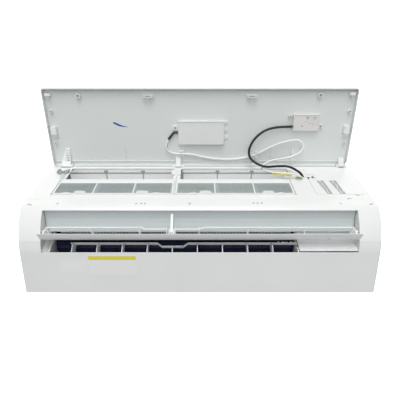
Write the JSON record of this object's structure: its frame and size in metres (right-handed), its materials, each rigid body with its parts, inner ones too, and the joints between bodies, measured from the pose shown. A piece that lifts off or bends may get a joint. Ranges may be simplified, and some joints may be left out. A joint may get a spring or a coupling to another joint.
{
  "type": "mini split indoor unit",
  "caption": "Wall-hung air conditioner indoor unit on its back, front panel open, with filters, coil, cross-flow fan, louver, swing vanes and wired panel modules.",
  "frame": {"origin": "centre of the flat back face, where the wall plate meets the wall", "axes": "+Z away from the wall, +Y towards the unit's top edge with the panel hinge, +X to the right as the front is read"},
  "size_m": [0.802, 0.3273, 0.3763],
  "materials": {
    "casing_white": "satin gloss",
    "chassis_white": "satin",
    "panel_white": "glossy outside",
    "inner_white": "satin",
    "louver_white": "satin gloss",
    "filter_white": "satin",
    "foam_white": "matte",
    "fan_navy": "satin",
    "fin_aluminium": "fine fins",
    "copper": "bright",
    "brass": "bright",
    "galvanised": "galvanised",
    "motor_grey": "satin",
    "black_plastic": "satin",
    "board_green": "solder mask",
    "rubber_dark": "matte",
    "cable_white": "satin",
    "cable_black": "satin",
    "screw_steel": "zinc"
  },
  "bodies": {
    "unit": {"front_casing": "casing_white", "rear_chassis": "chassis_white", "wall_plate": "galvanised", "terminal_cover": "casing_white", "frame_screws": "screw_steel", "outlet_blanks": "inner_white", "drain_pan": "foam_white", "drain_plug": "rubber_dark", "coil_front": "fin_aluminium", "coil_upper": "fin_aluminium", "coil_rear": "fin_aluminium", "coil_tubes": "copper", "coil_end_plates": "galvanised", "liquid_pipe": "copper", "gas_pipe": "copper", "flare_nuts": "brass", "pipe_clamp": "inner_white", "fan_motor": "motor_grey", "motor_saddle": "inner_white", "fan_bearing": "rubber_dark", "control_box": "inner_white", "control_box_lid": "inner_white", "main_board": "board_green", "terminal_block": "black_plastic", "louver_motor": "motor_grey", "swing_motor": "motor_grey", "louver_bush": "inner_white", "louver_post": "inner_white", "cable_white": "cable_white", "cable_black": "cable_black", "cable_grommet": "rubber_dark"},
    "panel": {"front_panel": "panel_white", "hinge_arm_left": "inner_white", "hinge_arm_right": "inner_white", "hinge_clip_centre": "inner_white", "display_box": "inner_white", "display_board": "board_green", "display_connector": "cable_black", "wireless_module": "inner_white", "wireless_board": "board_green", "panel_catches": "inner_white", "cable_clips": "inner_white"},
    "louver": {"louver_blade": "louver_white", "louver_guide": "louver_white"},
    "fan": {"crossflow_fan": "fan_navy", "fan_hub": "rubber_dark", "fan_shafts": "screw_steel"},
    "vane_link": {"vane_link": "inner_white"},
    "swing_crank": {"swing_crank": "black_plastic"},
    "filter_left": {"filter_left": "filter_white"},
    "filter_right": {"filter_right": "filter_white"},
    "vane_1": {"vane_1": "inner_white"},
    "vane_2": {"vane_2": "inner_white"},
    "vane_3": {"vane_3": "inner_white"},
    "vane_4": {"vane_4": "inner_white"},
    "vane_5": {"vane_5": "inner_white"},
    "vane_6": {"vane_6": "inner_white"},
    "vane_7": {"vane_7": "inner_white"},
    "vane_8": {"vane_8": "inner_white"},
    "vane_9": {"vane_9": "inner_white"}
  },
  "joints": [
    {"name": "panel_hinge", "type": "hinge", "parent": "unit", "child": "panel", "pos_m": [0, 0.1335, 0.1804], "axis": [-1, 0, 0], "range_deg": [-99.4, 0], "deforming": ["cable_white", "cable_black"]},
    {"name": "louver_pivot", "type": "hinge", "parent": "unit", "child": "louver", "pos_m": [0, -0.0905, 0.131], "axis": [1, 0, 0], "range_deg": [-87, 6]},
    {"name": "fan_spin", "type": "hinge", "parent": "unit", "child": "fan", "pos_m": [0, -0.0425, 0.073], "axis": [1, 0, 0], "continuous": true},
    {"name": "vane_slide", "type": "slide", "parent": "unit", "child": "vane_link", "axis": [1, 0, 0], "range_m": [-0.0095, 0.0095]},
    {"name": "vane_1_pivot", "type": "hinge", "parent": "unit", "child": "vane_1", "pos_m": [-0.2868, -0.1075, 0.07], "axis": [0, 0.9121, 0.41], "range_deg": [-33, 33]},
    {"name": "vane_2_pivot", "type": "hinge", "parent": "unit", "child": "vane_2", "pos_m": [-0.2306, -0.1075, 0.07], "axis": [0, 0.9121, 0.41], "range_deg": [-33, 33]},
    {"name": "vane_3_pivot", "type": "hinge", "parent": "unit", "child": "vane_3", "pos_m": [-0.1744, -0.1075, 0.07], "axis": [0, 0.9121, 0.41], "range_deg": [-33, 33]},
    {"name": "vane_4_pivot", "type": "hinge", "parent": "unit", "child": "vane_4", "pos_m": [-0.1182, -0.1075, 0.07], "axis": [0, 0.9121, 0.41], "range_deg": [-33, 33]},
    {"name": "vane_5_pivot", "type": "hinge", "parent": "unit", "child": "vane_5", "pos_m": [-0.062, -0.1075, 0.07], "axis": [0, 0.9121, 0.41], "range_deg": [-33, 33]},
    {"name": "vane_6_pivot", "type": "hinge", "parent": "unit", "child": "vane_6", "pos_m": [-0.0058, -0.1075, 0.07], "axis": [0, 0.9121, 0.41], "range_deg": [-33, 33]},
    {"name": "vane_7_pivot", "type": "hinge", "parent": "unit", "child": "vane_7", "pos_m": [0.0504, -0.1075, 0.07], "axis": [0, 0.9121, 0.41], "range_deg": [-33, 33]},
    {"name": "vane_8_pivot", "type": "hinge", "parent": "unit", "child": "vane_8", "pos_m": [0.1066, -0.1075, 0.07], "axis": [0, 0.9121, 0.41], "range_deg": [-33, 33]},
    {"name": "vane_9_pivot", "type": "hinge", "parent": "unit", "child": "vane_9", "pos_m": [0.1628, -0.1075, 0.07], "axis": [0, 0.9121, 0.41], "range_deg": [-33, 33]},
    {"name": "crank_pivot", "type": "hinge", "parent": "unit", "child": "swing_crank", "pos_m": [0.2368, -0.1075, 0.07], "axis": [0, 0.9121, 0.41], "range_deg": [-33, 33]},
    {"name": "filter_left_slide", "type": "slide", "parent": "unit", "child": "filter_left", "axis": [0, -1, 0], "range_m": [0, 0.072]},
    {"name": "filter_right_slide", "type": "slide", "parent": "unit", "child": "filter_right", "axis": [0, -1, 0], "range_m": [0, 0.072]}
  ],
  "couplings": [
    {"joint": "vane_1_pivot", "follows": "vane_slide", "rad_per_m": 58.55},
    {"joint": "vane_2_pivot", "follows": "vane_slide", "rad_per_m": 58.55},
    {"joint": "vane_3_pivot", "follows": "vane_slide", "rad_per_m": 58.55},
    {"joint": "vane_4_pivot", "follows": "vane_slide", "rad_per_m": 58.55},
    {"joint": "vane_5_pivot", "follows": "vane_slide", "rad_per_m": 58.55},
    {"joint": "vane_6_pivot", "follows": "vane_slide", "rad_per_m": 58.55},
    {"joint": "vane_7_pivot", "follows": "vane_slide", "rad_per_m": 58.55},
    {"joint": "vane_8_pivot", "follows": "vane_slide", "rad_per_m": 58.55},
    {"joint": "vane_9_pivot", "follows": "vane_slide", "rad_per_m": 58.55},
    {"joint": "crank_pivot", "follows": "vane_slide", "rad_per_m": 58.55}
  ]
}
